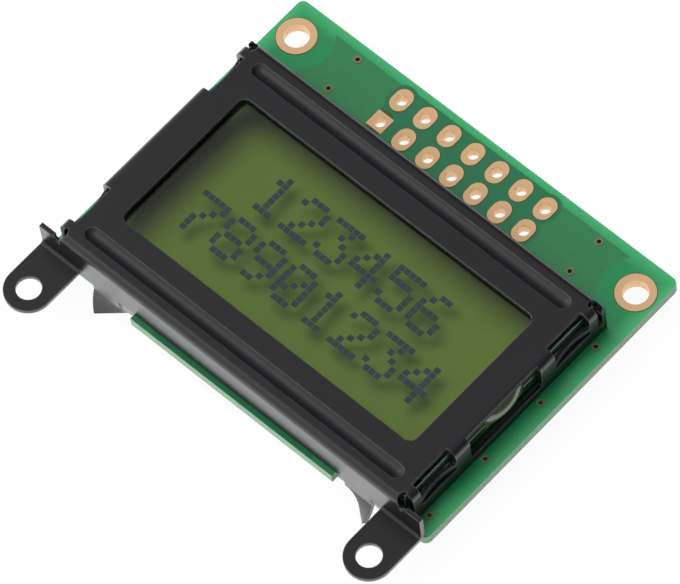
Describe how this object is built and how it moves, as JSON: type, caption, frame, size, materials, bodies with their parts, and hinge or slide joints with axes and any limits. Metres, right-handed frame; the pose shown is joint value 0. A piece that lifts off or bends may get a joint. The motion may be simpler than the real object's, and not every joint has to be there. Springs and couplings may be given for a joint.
{
  "type": "character lcd module",
  "caption": "Reflective character display: a glass cell in a folded black bezel with mounting ears and twisted tabs, on a green board with a pin header field.",
  "frame": {"origin": "bottom centre of the whole module's box, level with the tips of the four twisted tabs", "axes": "+X along the display to the right of a reader, +Y up the display towards the header, +Z out of the glass"},
  "size_m": [0.0406, 0.0354, 0.0071],
  "materials": {
    "bezel_paint": "semi-gloss black paint on folded steel",
    "polarizer_film": "clear yellow-green polarizing film",
    "cell_glass": "polished clear float glass",
    "plug_resin": "cured translucent resin",
    "reflector_foil": "satin yellow-green reflecting foil",
    "elastomer": "matte silicone",
    "board_mask": "green solder mask on glass-epoxy laminate",
    "copper_plating": "satin coated copper",
    "driver_resin": "black encapsulating resin",
    "resistor_body": "glazed black ceramic",
    "solder": "bright solder"
  },
  "bodies": {
    "root": {"bezel": "bezel_paint", "front_polarizer": "polarizer_film", "front_glass": "cell_glass", "rear_glass": "cell_glass", "fill_plug": "plug_resin", "rear_polarizer": "polarizer_film", "reflector": "reflector_foil", "upper_connector": "elastomer", "lower_connector": "elastomer", "circuit_board": "board_mask", "left_mount_plating": "copper_plating", "right_mount_plating": "copper_plating", "via_plating": "copper_plating", "upper_contacts": "copper_plating", "lower_contacts": "copper_plating", "driver_resin": "driver_resin", "header_pad_1": "copper_plating", "header_pad_2": "copper_plating", "header_pad_3": "copper_plating", "header_pad_4": "copper_plating", "header_pad_5": "copper_plating", "header_pad_6": "copper_plating", "header_pad_7": "copper_plating", "header_pad_8": "copper_plating", "header_pad_9": "copper_plating", "header_pad_10": "copper_plating", "header_pad_11": "copper_plating", "header_pad_12": "copper_plating", "header_pad_13": "copper_plating", "header_pad_14": "copper_plating", "resistor_1": "resistor_body", "resistor_2": "resistor_body", "resistor_3": "resistor_body", "resistor_4": "resistor_body", "resistor_5": "resistor_body", "resistor_ends_1": "solder", "resistor_ends_2": "solder", "resistor_ends_3": "solder", "resistor_ends_4": "solder", "resistor_ends_5": "solder"}
  },
  "joints": []
}
